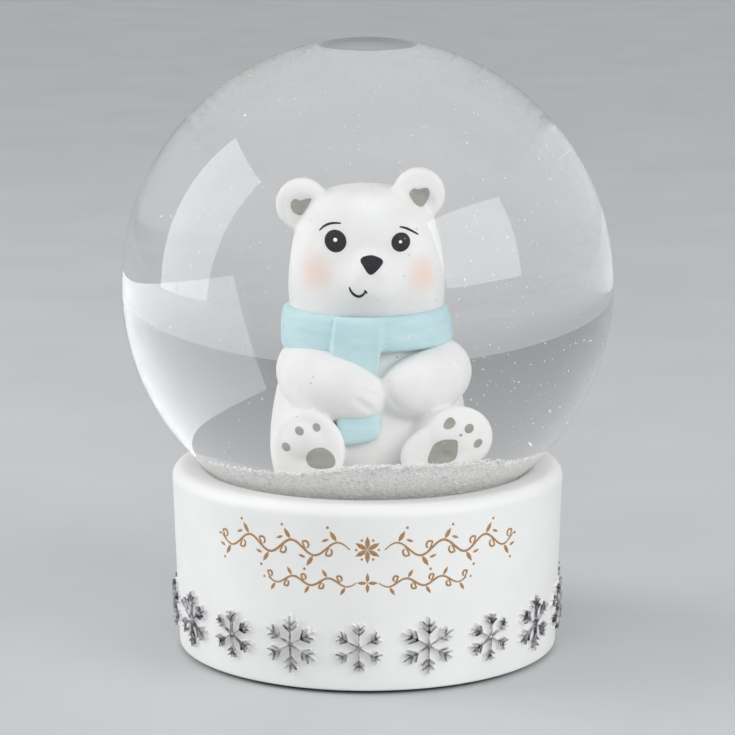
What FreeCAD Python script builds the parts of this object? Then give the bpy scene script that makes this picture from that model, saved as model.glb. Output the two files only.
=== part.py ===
"""Water-filled snow globe: a sealed glass ball with a seated bear, on a round cast base.

Millimetres, +Z up, the front of the object faces -Y. The origin is the middle of the underside.
"""
import FreeCAD, Part
import math
import os

import Sketcher

SIZES = {
    # glass ball
    "globe_radius": 50.0,
    "glass_wall": 2.5,
    "globe_centre_height": 75.2,
    "neck_radius": 30.5,
    "neck_end_height": 30.0,
    # cast base
    "base_foot_radius": 39.0,
    "base_top_radius": 40.2,
    "base_foot_height": 0.8,
    "base_top_height": 38.2,
    "base_rim_round": 2.4,
    "base_foot_round": 0.6,
    "base_wall": 6.0,
    "seat_gap": 0.3,
    "well_radius": 31.7,
    "well_floor_height": 25.0,
    "well_floor_thickness": 4.0,
    "cavity_top_radius": 30.0,
    "pad_radius": 37.4,
    # rubber stopper and the two glue lines
    "stopper_flange_radius": 29.8,
    "stopper_flange_height": 27.0,
    "stopper_groove_radius": 27.2,
    "stopper_platform_radius": 23.0,
    "stopper_platform_height": 44.0,
    "stopper_shoulder_height": 36.0,
    "stopper_pocket_radius": 14.0,
    "stopper_pocket_height": 36.0,
    "seal_radius": 31.3,
    "seal_foot_height": 27.6,
    "seal_top_height": 31.2,
    "bond_foot_height": 32.0,
    "bond_top_height": 35.2,
    # what the ball holds
    "snow_height": 46.4,
    "bubble_radius": 9.6,
    # silver snowflakes round the foot of the base
    "flake_height": 9.8,
    "flake_relief": 1.2,
    "flake_small_radius": 4.75,
    "flake_large_radius": 5.75,
    "flake_shaft_half_width": 0.48,
    "flake_branch_width": 0.80,
    "flake_branch_angle": 47.0,
    # scarf
    "scarf_half_width": 13.5,
    "scarf_half_depth": 12.6,
    "scarf_bulge_height": 11.0,
    "scarf_foot_height": 66.0,
    "scarf_top_height": 72.7,
    "scarf_tail_width": 7.4,
    "scarf_tail_thickness": 2.6,
    "scarf_tail_middle": -1.6,
    "scarf_tail_front": -16.4,
    "scarf_tail_top_height": 70.7,
    "scarf_tail_foot_height": 50.7,
}

# Bear: rounded masses as (centre x, y, z) and (half width, half depth, half height).
BEAR_MASSES = {
    "trunk": ((0.0, -3.0, 56.0), (14.6, 12.0, 17.0)),
    "head": ((-0.1, -4.0, 80.2), (12.4, 11.2, 11.8)),
    "muzzle": ((0.5, -13.4, 79.3), (4.8, 3.0, 4.0)),
    "left_ear": ((-10.4, -3.5, 88.2), (3.9, 2.2, 3.9)),
    "right_ear": ((8.3, -3.5, 89.6), (3.9, 2.2, 4.1)),
    "left_arm": ((-10.0, -7.5, 61.8), (4.6, 6.0, 6.4)),
    "right_arm": ((11.4, -7.5, 62.4), (4.9, 6.2, 6.4)),
    "left_paw": ((-4.2, -14.2, 60.0), (6.6, 3.9, 4.3)),
    "right_paw": ((7.6, -14.4, 59.6), (5.2, 4.1, 5.3)),
    "left_leg": ((-9.6, -10.0, 50.4), (6.3, 9.6, 6.4)),
    "right_leg": ((11.4, -9.4, 50.6), (6.6, 9.6, 6.5)),
    "left_foot": ((-10.0, -17.6, 51.4), (6.2, 3.8, 5.9)),
    "right_foot": ((13.6, -16.6, 52.2), (7.0, 4.2, 5.6)),
}

MASS_SIZES = ("x", "y", "z", "half_width", "half_depth", "half_height")
for mass_name, (mass_centre, mass_halves) in BEAR_MASSES.items():
    for size_name, size in zip(MASS_SIZES, mass_centre + mass_halves):
        SIZES["%s_%s" % (mass_name, size_name)] = size

FLAKE_COUNT = 18
FLAKE_FIRST_ANGLE = -2.4
# Pairs of branches on each arm: (where the pair starts, how far it reaches) as shares of the radius.
SMALL_BRANCHES = ((0.54, 0.34), (0.74, 0.33))
LARGE_BRANCHES = ((0.44, 0.34), (0.65, 0.31))

doc = FreeCAD.newDocument("snow_globe")
sheet = doc.addObject("Spreadsheet::Sheet", "sizes")
for row, (alias, value) in enumerate(SIZES.items(), start=1):
    sheet.set("A%d" % row, alias)
    sheet.set("B%d" % row, str(value))
    sheet.setAlias("B%d" % row, alias)
doc.recompute()

# Sizes that follow from the driving ones.
derived = doc.addObject("App::VarSet", "derived")


def derive(name, expression):
    """Adds a named size that is worked out from the sheet's cells."""
    derived.addProperty("App::PropertyFloat", name, "Sizes")
    derived.setExpression(name, expression)
    derived.recompute()


def value_of(name):
    """Number behind a name of the sheet or of the derived sizes."""
    if name in SIZES:
        return float(sheet.get(name))
    return float(getattr(derived, name))


def full_name(name):
    """Name as an expression has to spell it."""
    return ("sizes." if name in SIZES else "derived.") + name


def plane_of(body, role):
    """The body's own origin plane with that role."""
    return next(item for item in body.Origin.OriginFeatures if item.Role == role)


def new_body(name):
    """PartDesign body with its label."""
    body = doc.addObject("PartDesign::Body", name)
    body.Label = name
    return body


def fix_point(sketch, geometry, end, across, up):
    """Ties one end of a sketch element to two named sizes, or to the axis where across is None."""
    if across is None:
        sketch.addConstraint(Sketcher.Constraint("PointOnObject", geometry, end, -2))
    else:
        index = sketch.addConstraint(
            Sketcher.Constraint("DistanceX", -1, 1, geometry, end, value_of(across)))
        sketch.setExpression("Constraints[%d]" % index, full_name(across))
    index = sketch.addConstraint(Sketcher.Constraint("DistanceY", -1, 1, geometry, end, value_of(up)))
    sketch.setExpression("Constraints[%d]" % index, full_name(up))


def turned_profile(body, corners, arcs=None):
    """Closed half-section in the XZ plane, revolved about Z.

    corners is a list of (size across, size up), with None across for a point on the axis. arcs maps
    a corner's index to +1 or -1: the edge that leaves it is an arc about the ball's centre, which
    runs anticlockwise for +1.
    """
    arcs = arcs or {}
    sketch = body.newObject("Sketcher::SketchObject", body.Name + "_section")
    sketch.AttachmentSupport = [(plane_of(body, "XZ_Plane"), "")]
    sketch.MapMode = "FlatFace"
    middle = FreeCAD.Vector(0, value_of("globe_centre_height"), 0)
    places = [
        FreeCAD.Vector(0 if across is None else value_of(across), value_of(up), 0)
        for across, up in corners]
    first_end = []
    last_end = []
    for index, start in enumerate(places):
        stop = places[(index + 1) % len(places)]
        turn = arcs.get(index)
        if turn is None:
            edge = sketch.addGeometry(Part.LineSegment(start, stop))
            first_end.append((edge, 1))
            last_end.append((edge, 2))
            continue
        low, high = (start, stop) if turn > 0 else (stop, start)
        circle = Part.Circle(middle, FreeCAD.Vector(0, 0, 1), (low - middle).Length)
        edge = sketch.addGeometry(Part.ArcOfCircle(
            circle,
            math.atan2(low.y - middle.y, low.x - middle.x),
            math.atan2(high.y - middle.y, high.x - middle.x)))
        first_end.append((edge, 1 if turn > 0 else 2))
        last_end.append((edge, 2 if turn > 0 else 1))
    for index, (across, up) in enumerate(corners):
        edge, end = first_end[index]
        other, other_end = last_end[index - 1]
        sketch.addConstraint(Sketcher.Constraint("Coincident", other, other_end, edge, end))
        fix_point(sketch, edge, end, across, up)
        if index in arcs:
            centre = sketch.addConstraint(Sketcher.Constraint(
                "DistanceY", -1, 1, edge, 3, value_of("globe_centre_height")))
            sketch.setExpression("Constraints[%d]" % centre, full_name("globe_centre_height"))
    turned = body.newObject("PartDesign::Revolution", body.Name + "_turned")
    turned.Profile = sketch
    turned.ReferenceAxis = (sketch, ["V_Axis"])
    turned.Angle = 360
    body.Tip = turned
    doc.recompute()
    return turned


def round_edges(body, base, radius, rings):
    """Fillet on the circular edges that lie at the named (radius, height) pairs."""
    names = []
    for across, up in rings:
        for index, edge in enumerate(base.Shape.Edges, start=1):
            curve = edge.Curve
            if not isinstance(curve, Part.Circle):
                continue
            same_radius = abs(curve.Radius - value_of(across)) < 0.01
            same_height = abs(curve.Center.z - value_of(up)) < 0.01
            if same_radius and same_height:
                names.append("Edge%d" % index)
    fillet = body.newObject("PartDesign::Fillet", body.Name + "_round_" + radius)
    fillet.Base = (base, names)
    fillet.setExpression("Radius", full_name(radius))
    body.Tip = fillet
    doc.recompute()
    return fillet


def sphere_radius_at(name, ball_radius, up):
    """Derives the radius of a ball about the globe's centre at a named height."""
    derive(name, "sqrt((%s)^2 - (sizes.globe_centre_height - %s)^2)" % (ball_radius, full_name(up)))


GLASS_OUTSIDE = "sizes.globe_radius"
GLASS_INSIDE = "sizes.globe_radius - sizes.glass_wall"
SEAT_BALL = "sizes.globe_radius + sizes.seat_gap"


def make_glass_globe():
    """Blown ball with a short straight neck that ends in an open mouth."""
    derive("globe_top", "sizes.globe_centre_height + sizes.globe_radius")
    derive("globe_inner_top", "derived.globe_top - sizes.glass_wall")
    derive("mouth_radius", "sizes.neck_radius - sizes.glass_wall")
    derive("neck_meets_ball", "sizes.globe_centre_height - sqrt(%s^2 - sizes.neck_radius^2)" % GLASS_OUTSIDE)
    derive(
        "mouth_meets_ball",
        "sizes.globe_centre_height - sqrt((%s)^2 - derived.mouth_radius^2)" % GLASS_INSIDE)
    body = new_body("glass_globe")
    turned_profile(body, [
        (None, "globe_top"),
        (None, "globe_inner_top"),
        ("mouth_radius", "mouth_meets_ball"),
        ("mouth_radius", "neck_end_height"),
        ("neck_radius", "neck_end_height"),
        ("neck_radius", "neck_meets_ball"),
    ], arcs={1: -1, 5: 1})
    return body


def make_base_casting():
    """Thick round casting: a curved seat and a well above a floor, and a closed cavity below it."""
    sphere_radius_at("seat_top_radius", SEAT_BALL, "base_top_height")
    derive("well_top_height", "sizes.globe_centre_height - sqrt((%s)^2 - sizes.well_radius^2)" % SEAT_BALL)
    derive("cavity_top_height", "sizes.well_floor_height - sizes.well_floor_thickness")
    derive("cavity_foot_radius", "sizes.base_foot_radius - sizes.base_wall")
    body = new_body("base_casting")
    turned = turned_profile(body, [
        ("cavity_foot_radius", "base_foot_height"),
        ("base_foot_radius", "base_foot_height"),
        ("base_top_radius", "base_top_height"),
        ("seat_top_radius", "base_top_height"),
        ("well_radius", "well_top_height"),
        ("well_radius", "well_floor_height"),
        (None, "well_floor_height"),
        (None, "cavity_top_height"),
        ("cavity_top_radius", "cavity_top_height"),
    ], arcs={3: -1})
    rim = round_edges(body, turned, "base_rim_round", [("base_top_radius", "base_top_height")])
    round_edges(body, rim, "base_foot_round", [("base_foot_radius", "base_foot_height")])
    return body


def make_base_pad():
    """Felt-faced disc that closes the underside."""
    body = new_body("base_pad")
    sketch = body.newObject("Sketcher::SketchObject", "base_pad_outline")
    sketch.AttachmentSupport = [(plane_of(body, "XY_Plane"), "")]
    sketch.MapMode = "FlatFace"
    circle = Part.Circle(FreeCAD.Vector(), FreeCAD.Vector(0, 0, 1), value_of("pad_radius"))
    edge = sketch.addGeometry(circle)
    sketch.addConstraint(Sketcher.Constraint("Coincident", edge, 3, -1, 1))
    radius = sketch.addConstraint(Sketcher.Constraint("Radius", edge, value_of("pad_radius")))
    sketch.setExpression("Constraints[%d]" % radius, full_name("pad_radius"))
    disc = body.newObject("PartDesign::Pad", "base_pad_disc")
    disc.Profile = sketch
    disc.setExpression("Length", full_name("base_foot_height"))
    doc.recompute()
    return body


def make_rubber_stopper():
    """Moulded plug: flange under the glass, ribbed neck, and a raised platform inside the ball."""
    derive("stopper_rib_pitch", "(sizes.stopper_shoulder_height - sizes.neck_end_height) / 5")
    for step in range(1, 5):
        derive("stopper_rib_%d" % step, "sizes.neck_end_height + %d * derived.stopper_rib_pitch" % step)
    body = new_body("rubber_stopper")
    corners = [
        ("stopper_pocket_radius", "stopper_flange_height"),
        ("stopper_flange_radius", "stopper_flange_height"),
        ("stopper_flange_radius", "neck_end_height"),
        ("mouth_radius", "neck_end_height"),
    ]
    for low, high in (("stopper_rib_1", "stopper_rib_2"), ("stopper_rib_3", "stopper_rib_4")):
        corners += [
            ("mouth_radius", low),
            ("stopper_groove_radius", low),
            ("stopper_groove_radius", high),
            ("mouth_radius", high),
        ]
    corners += [
        ("mouth_radius", "stopper_shoulder_height"),
        ("stopper_platform_radius", "stopper_platform_height"),
        (None, "stopper_platform_height"),
        (None, "stopper_pocket_height"),
        ("stopper_pocket_radius", "stopper_pocket_height"),
    ]
    turned_profile(body, corners)
    return body


def make_stopper_seal():
    """Bead of sealant over the joint between the stopper's flange and the glass neck."""
    body = new_body("stopper_seal")
    turned_profile(body, [
        ("stopper_flange_radius", "seal_foot_height"),
        ("seal_radius", "seal_foot_height"),
        ("seal_radius", "seal_top_height"),
        ("neck_radius", "seal_top_height"),
        ("neck_radius", "neck_end_height"),
        ("stopper_flange_radius", "neck_end_height"),
    ])
    return body


def make_neck_adhesive():
    """Ring of glue that fills the well between the glass neck and the base."""
    body = new_body("neck_adhesive")
    turned_profile(body, [
        ("neck_radius", "bond_foot_height"),
        ("well_radius", "bond_foot_height"),
        ("well_radius", "bond_top_height"),
        ("neck_radius", "bond_top_height"),
    ])
    return body


MASS_TARGETS = ("Placement.Base.x", "Placement.Base.y", "Placement.Base.z", "Radius2", "Radius3", "Radius1")


def make_bear_and_scarf():
    """Seated bear as fused rounded masses, and the scarf that lies round its neck and down its front."""
    masses = []
    for name in BEAR_MASSES:
        mass = doc.addObject("Part::Ellipsoid", name)
        for target, size_name in zip(MASS_TARGETS, MASS_SIZES):
            mass.setExpression(target, full_name("%s_%s" % (name, size_name)))
        masses.append(mass)
    whole = doc.addObject("Part::MultiFuse", "bear_whole")
    whole.Shapes = masses
    ground = doc.addObject("Part::Box", "bear_ground")
    for side in ("Length", "Width"):
        ground.setExpression(side, "2 * sizes.globe_radius")
    ground.setExpression("Height", full_name("stopper_platform_height"))
    ground.setExpression("Placement.Base.x", "-sizes.globe_radius")
    ground.setExpression("Placement.Base.y", "-sizes.globe_radius")
    standing = doc.addObject("Part::Cut", "bear_standing")
    standing.Base = whole
    standing.Tool = ground

    roll = doc.addObject("Part::Ellipsoid", "scarf_roll")
    roll.setExpression("Radius1", full_name("scarf_bulge_height"))
    roll.setExpression("Radius2", full_name("scarf_half_width"))
    roll.setExpression("Radius3", full_name("scarf_half_depth"))
    roll.setExpression("Placement.Base.z", "(sizes.scarf_foot_height + sizes.scarf_top_height) / 2")
    roll.setExpression("Placement.Base.y", full_name("head_y"))
    band = doc.addObject("Part::Box", "scarf_band")
    for side in ("Length", "Width"):
        band.setExpression(side, "2 * sizes.globe_radius")
    band.setExpression("Height", "sizes.scarf_top_height - sizes.scarf_foot_height")
    band.setExpression("Placement.Base.x", "-sizes.globe_radius")
    band.setExpression("Placement.Base.y", "-sizes.globe_radius")
    band.setExpression("Placement.Base.z", full_name("scarf_foot_height"))
    wrap = doc.addObject("Part::Common", "scarf_wrap")
    wrap.Base = roll
    wrap.Tool = band
    ring = doc.addObject("Part::Cut", "scarf_ring")
    ring.Base = wrap
    ring.Tool = whole
    tail = doc.addObject("Part::Box", "scarf_tail")
    tail.setExpression("Length", full_name("scarf_tail_width"))
    tail.setExpression("Width", full_name("scarf_tail_thickness"))
    tail.setExpression("Height", "sizes.scarf_tail_top_height - sizes.scarf_tail_foot_height")
    tail.setExpression("Placement.Base.x", "sizes.scarf_tail_middle - sizes.scarf_tail_width / 2")
    tail.setExpression("Placement.Base.y", full_name("scarf_tail_front"))
    tail.setExpression("Placement.Base.z", full_name("scarf_tail_foot_height"))

    scarf = doc.addObject("Part::Fuse", "bear_scarf")
    scarf.Label = "bear_scarf"
    scarf.Base = ring
    scarf.Tool = tail
    bear = doc.addObject("Part::Cut", "bear_figurine")
    bear.Label = "bear_figurine"
    bear.Base = standing
    bear.Tool = tail
    doc.recompute()
    return bear, scarf


def make_snow_bed(bear):
    """Settled flakes between the stopper and the glass, level on top, with the bear sitting in them."""
    sphere_radius_at("snow_edge_radius", GLASS_INSIDE, "snow_height")
    body = new_body("snow_full")
    turned_profile(body, [
        (None, "stopper_platform_height"),
        ("stopper_platform_radius", "stopper_platform_height"),
        ("mouth_radius", "stopper_shoulder_height"),
        ("mouth_radius", "mouth_meets_ball"),
        ("snow_edge_radius", "snow_height"),
        (None, "snow_height"),
    ], arcs={3: 1})
    snow = doc.addObject("Part::Cut", "snow_bed")
    snow.Label = "snow_bed"
    snow.Base = body
    snow.Tool = bear
    doc.recompute()
    return snow


def make_liquid_fill(bear, scarf):
    """Clear filling from the snow up to the small bubble left under the top of the glass."""
    derive(
        "liquid_level",
        "sizes.globe_centre_height + sqrt((%s)^2 - sizes.bubble_radius^2)" % GLASS_INSIDE)
    body = new_body("liquid_full")
    turned_profile(body, [
        (None, "snow_height"),
        ("snow_edge_radius", "snow_height"),
        ("bubble_radius", "liquid_level"),
        (None, "liquid_level"),
    ], arcs={1: 1})
    figure = doc.addObject("Part::MultiFuse", "bear_in_scarf")
    figure.Shapes = [bear, scarf]
    liquid = doc.addObject("Part::Cut", "liquid_fill")
    liquid.Label = "liquid_fill"
    liquid.Base = body
    liquid.Tool = figure
    doc.recompute()
    return liquid


def bound_outline(body, name, corners):
    """Closed polygon in the XZ plane. Each corner is a pair of expressions, kept as derived sizes."""
    sketch = body.newObject("Sketcher::SketchObject", name)
    sketch.AttachmentSupport = [(plane_of(body, "XZ_Plane"), "")]
    sketch.MapMode = "FlatFace"
    named = []
    for index, corner in enumerate(corners):
        pair = ["%s_%s_%d" % (name, way, index) for way in ("across", "up")]
        for size_name, expression in zip(pair, corner):
            derive(size_name, expression)
        named.append(pair)
    places = [FreeCAD.Vector(value_of(across), value_of(up), 0) for across, up in named]
    for index, start in enumerate(places):
        sketch.addGeometry(Part.LineSegment(start, places[(index + 1) % len(places)]))
    for index, (across, up) in enumerate(named):
        sketch.addConstraint(Sketcher.Constraint("Coincident", (index or len(named)) - 1, 2, index, 1))
        fix_point(sketch, index, 1, across, up)
    return sketch


def make_flake_master(name, radius, branches):
    """Six-armed flake on the front of the base, as a star that stands out through the wall."""
    body = new_body(name + "_star")
    reach = full_name(radius)
    shaft = full_name("flake_shaft_half_width")
    width = full_name("flake_branch_width")
    angle = full_name("flake_branch_angle")
    point = "%s - 2 * %s" % (reach, shaft)
    outlines = [[("-" + shaft, "0"), (shaft, "0"), (shaft, point), ("0", reach), ("-" + shaft, point)]]
    for start, length in branches:
        foot = "%g * %s" % (start, reach)
        side = "%g * %s * sin(%s * 1 deg)" % (length, reach, angle)
        tip = "%s + %g * %s * cos(%s * 1 deg)" % (foot, length, reach, angle)
        outlines.append([
            ("0", foot),
            (side, tip),
            ("%s - %s / 2" % (side, width), "%s + %s" % (tip, width)),
            ("0", "%s + 1.5 * %s" % (foot, width)),
            ("%s / 2 - %s" % (width, side), "%s + %s" % (tip, width)),
            ("-" + side, tip),
        ])
    pads = []
    for index, outline in enumerate(outlines):
        sketch = bound_outline(body, "%s_arm_%d" % (name, index), outline)
        pad = body.newObject("PartDesign::Pad", "%s_pad_%d" % (name, index))
        pad.Profile = sketch
        pad.setExpression("Length", "sizes.base_top_radius + 2 * sizes.flake_relief")
        pads.append(pad)
    doc.recompute()
    star = body.newObject("PartDesign::PolarPattern", name + "_arms")
    star.Originals = pads
    star.Axis = (pads[0].Profile[0], ["N_Axis"])
    star.Angle = 360
    star.Occurrences = 6
    body.Tip = star
    body.setExpression("Placement.Base.z", full_name("flake_height"))
    doc.recompute()
    return body


def make_flake_skin():
    """Thin conical skin over the base's wall: what of a star lies in it is the flake's relief."""
    cones = []
    for name, extra in (("flake_skin_outside", " + sizes.flake_relief"), ("flake_skin_inside", "")):
        cone = doc.addObject("Part::Cone", name)
        cone.setExpression("Radius1", "sizes.base_foot_radius" + extra)
        cone.setExpression("Radius2", "sizes.base_top_radius" + extra)
        cone.setExpression("Height", "sizes.base_top_height - sizes.base_foot_height")
        cone.setExpression("Placement.Base.z", full_name("base_foot_height"))
        cones.append(cone)
    skin = doc.addObject("Part::Cut", "flake_skin")
    skin.Base = cones[0]
    skin.Tool = cones[1]
    doc.recompute()
    return skin


def make_snowflakes():
    """Small and large flakes in turn, all round the base. Each is a turned copy of its master."""
    skin = make_flake_skin()
    masters = []
    for name, radius, branches in (
            ("flake_small", "flake_small_radius", SMALL_BRANCHES),
            ("flake_large", "flake_large_radius", LARGE_BRANCHES)):
        master = doc.addObject("Part::Common", name)
        master.Base = make_flake_master(name, radius, branches)
        master.Tool = skin
        masters.append(master)
    doc.recompute()
    flakes = []
    for index in range(FLAKE_COUNT):
        angle = FLAKE_FIRST_ANGLE + index * 360.0 / FLAKE_COUNT
        flake = doc.addObject("Part::Feature", "snowflake_%02d" % (index + 1))
        flake.Label = flake.Name
        flake.Shape = masters[index % 2].Shape
        flake.Placement = FreeCAD.Placement(
            FreeCAD.Vector(), FreeCAD.Rotation(FreeCAD.Vector(0, 0, 1), angle))
        flakes.append(flake)
    return flakes


flakes = make_snowflakes()
pieces = [
    make_base_pad(),
    make_base_casting(),
    make_glass_globe(),
    make_rubber_stopper(),
    make_stopper_seal(),
    make_neck_adhesive(),
]
bear_figurine, bear_scarf = make_bear_and_scarf()
pieces += [bear_figurine, bear_scarf]
pieces.append(make_snow_bed(bear_figurine))
pieces.append(make_liquid_fill(bear_figurine, bear_scarf))
pieces += flakes
doc.recompute()

for item in doc.Objects:
    if "Invalid" in item.State or "Error" in item.State:
        raise RuntimeError("failed object: %s %s" % (item.Name, item.State))

os.makedirs("parts", exist_ok=True)
for piece in pieces:
    shape = piece.Shape
    if shape.isNull() or not shape.isValid():
        raise RuntimeError("bad shape: " + piece.Label)
    shape.exportStep("parts/%s.step" % piece.Label)
    print("%-16s solids %d  volume %9.1f mm3" % (piece.Label, len(shape.Solids), shape.Volume))
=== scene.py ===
"""Snow globe: blown glass ball of water with a seated bear, on a cast base ringed with silver snowflakes."""

import math
import random

import bmesh
import bpy
import numpy as np
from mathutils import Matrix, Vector
from mathutils.bvhtree import BVHTree


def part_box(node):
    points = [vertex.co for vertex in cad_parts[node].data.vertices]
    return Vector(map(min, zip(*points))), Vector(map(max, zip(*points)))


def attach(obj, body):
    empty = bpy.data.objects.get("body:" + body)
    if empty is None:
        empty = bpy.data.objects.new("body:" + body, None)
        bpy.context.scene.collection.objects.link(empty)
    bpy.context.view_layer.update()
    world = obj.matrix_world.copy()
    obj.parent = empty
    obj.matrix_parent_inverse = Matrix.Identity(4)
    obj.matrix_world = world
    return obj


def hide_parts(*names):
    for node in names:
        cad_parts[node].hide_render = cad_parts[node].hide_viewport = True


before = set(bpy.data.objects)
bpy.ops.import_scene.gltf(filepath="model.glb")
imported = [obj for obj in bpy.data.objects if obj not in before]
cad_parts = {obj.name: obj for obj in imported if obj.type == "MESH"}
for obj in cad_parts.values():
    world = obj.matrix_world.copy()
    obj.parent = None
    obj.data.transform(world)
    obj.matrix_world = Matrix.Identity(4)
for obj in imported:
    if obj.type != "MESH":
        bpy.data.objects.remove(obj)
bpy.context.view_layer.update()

MM = 0.001
rng = random.Random(20)


# ---------------------------------------------------------------- sizes, in millimetres

def box_mm(name):
    """Lowest and highest corner of a CAD node, in millimetres."""
    low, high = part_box(name)
    return [value / MM for value in low], [value / MM for value in high]


globe_low, globe_high = box_mm("glass_globe")
base_low, base_high = box_mm("base_casting")
pad_high = box_mm("base_pad")[1]
snow_high = box_mm("snow_bed")[1]
water_high = box_mm("liquid_fill")[1]
flake_low, flake_high = box_mm("snowflake_01")

GLASS_WALL = 2.5
BALL_RADIUS = round(globe_high[0], 1)
BALL_INSIDE = BALL_RADIUS - GLASS_WALL
BALL_CENTRE = globe_high[2] - BALL_RADIUS
NECK_FOOT = globe_low[2]
NECK_RADIUS = 30.5
MOUTH_RADIUS = NECK_RADIUS - GLASS_WALL
WATER_LEVEL = water_high[2]
SNOW_LEVEL = snow_high[2]
PLATFORM_RADIUS = 23.0
SHOULDER_HEIGHT = 36.0

BASE_FOOT = base_low[2]
BASE_TOP = base_high[2]
BASE_TOP_RADIUS = base_high[0]
BASE_TAPER = 1.2
BASE_FOOT_RADIUS = BASE_TOP_RADIUS - BASE_TAPER
RIM_ROUND = 2.4
FOOT_ROUND = 0.6
SEAT_GAP = 0.3
SEAT_RADIUS = BALL_RADIUS + SEAT_GAP
WELL_RADIUS = 31.7
WELL_FLOOR = 25.0
CAVITY_TOP = 21.0
CAVITY_TOP_RADIUS = 30.0
BASE_WALL = 6.0

FLAKE_COUNT = 18
FLAKE_STEP = 2 * math.pi / FLAKE_COUNT
FLAKE_HEIGHT = (flake_low[2] + flake_high[2]) / 2
FLAKE_FIRST_ANGLE = math.radians(-2.4)


def held(share):
    """Share kept between 0 and 1."""
    return min(max(share, 0), 1)


def eased(share):
    """Share kept between 0 and 1, or an array of them, with soft ends."""
    share = np.clip(share, 0, 1)
    return share * share * (3 - 2 * share)


def round_steps(count):
    """Angle, cosine and sine of each of count steps round a circle."""
    for i in range(count):
        angle = 2 * math.pi * i / count
        yield angle, math.cos(angle), math.sin(angle)


def squared_off(value, power):
    """Power of a cosine or sine that keeps its sign: below 1 it makes a circle squarer."""
    return math.copysign(abs(value) ** power, value)


def ball_underside(radius, across):
    """Height of the lower half of a ball about the globe's centre, at that distance from the axis."""
    return BALL_CENTRE - math.sqrt(radius ** 2 - across ** 2)


def ball_across(radius, height):
    """Distance from the axis of a ball about the globe's centre, at that height."""
    return math.sqrt(radius ** 2 - (height - BALL_CENTRE) ** 2)


def wall_radius(height):
    """Outer radius of the base's slightly tapered wall."""
    share = (height - BASE_FOOT) / (BASE_TOP - BASE_FOOT)
    return BASE_FOOT_RADIUS + (BASE_TOP_RADIUS - BASE_FOOT_RADIUS) * share


def on_wall(across, height, proud, turn=0.0):
    """Point that stands proud of the base's wall: across is an arc length from its front, turned about Z."""
    radius = wall_radius(height)
    angle = across / radius + turn
    return ((radius + proud) * math.sin(angle), -(radius + proud) * math.cos(angle), height)


# ---------------------------------------------------------------- material helpers

def linear(hex_colour):
    """sRGB hex colour as linear RGBA."""
    shares = [int(hex_colour[i:i + 2], 16) / 255 for i in (1, 3, 5)]
    return tuple(c / 12.92 if c <= 0.04045 else ((c + 0.055) / 1.055) ** 2.4 for c in shares) + (1.0,)


def add(tree, kind, inputs=None, stops=(), **settings):
    """Adds a node. Inputs are sockets, nodes whose first output is used, or plain values.

    settings are the node's own properties, and stops a colour ramp's (position, hex colour or grey level).
    """
    made = tree.nodes.new("ShaderNode" + kind)
    for name, value in settings.items():
        setattr(made, name, value)
    for name, value in (inputs or {}).items():
        if isinstance(value, bpy.types.Node):
            value = value.outputs[0]
        if isinstance(value, bpy.types.NodeSocket):
            tree.links.new(value, made.inputs[name])
        else:
            made.inputs[name].default_value = value
    while stops and len(made.color_ramp.elements) < len(stops):
        made.color_ramp.elements.new(0.5)
    for i, (position, colour) in enumerate(stops):
        element = made.color_ramp.elements[i]
        element.position = position
        element.color = linear(colour) if isinstance(colour, str) else (colour, colour, colour, 1)
    return made


def blank(name):
    """New material with an empty tree, and its Object coordinates."""
    made = bpy.data.materials.new(name)
    made.use_nodes = True
    made.node_tree.nodes.clear()
    place = add(made.node_tree, "TexCoord").outputs["Object"]
    return made, made.node_tree, place


def finish(tree, shader):
    """Sends a shader to the output."""
    add(tree, "OutputMaterial", {"Surface": shader})


def per_mm(size):
    """Scale of a pattern whose cells or blotches are about that many millimetres across."""
    return 1 / (size * MM)


# ---------------------------------------------------------------- materials

WATER_IOR = 1.333
GLASS_IOR = 1.5
PAINT_IOR = 1.5
# Paint shines far less in water than in air, by the ratio of the two.
IN_WATER = PAINT_IOR / WATER_IOR

# Cheeks as (middle, reach of the blush), and the strength of the blush.
CHEEKS = (((-8.7, -12.2, 79.2), 4.7), ((9.0, -11.7, 78.6), 4.4))
BLUSH = 0.40


def cast_polyresin():
    """Cast polyresin under a matt white lacquer: soft sheen, faint clouding, fine orange peel and specks."""
    made, tree, place = blank("cast_polyresin_lacquered")
    cloud = add(tree, "TexNoise", {"Vector": place, "Scale": per_mm(14), "Detail": 3})
    peel = add(tree, "TexNoise", {"Vector": place, "Scale": per_mm(0.7)})
    swell = add(tree, "TexNoise", {"Vector": place, "Scale": per_mm(9), "Detail": 1})
    pits = add(tree, "TexVoronoi", {"Vector": place, "Scale": per_mm(3.2)})
    colour = add(tree, "MixRGB", {
        "Fac": add(tree, "ValToRGB", {"Fac": pits}, stops=((0.0, 0.0), (0.05, 1.0))),
        "Color1": linear("#DFDEDA"),
        "Color2": add(tree, "ValToRGB", {"Fac": cloud}, stops=((0.3, "#EFEFED"), (0.7, "#F5F5F3")))})
    fine = add(tree, "Bump", {"Height": peel, "Distance": 0.012 * MM, "Strength": 0.5})
    finish(tree, add(tree, "BsdfPrincipled", {
        "Base Color": colour,
        "Roughness": add(tree, "MapRange", {"Value": peel, "To Min": 0.42, "To Max": 0.54}),
        "IOR": PAINT_IOR,
        "Normal": add(tree, "Bump", {
            "Height": swell, "Distance": 0.05 * MM, "Strength": 0.6, "Normal": fine})}))
    return made


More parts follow.
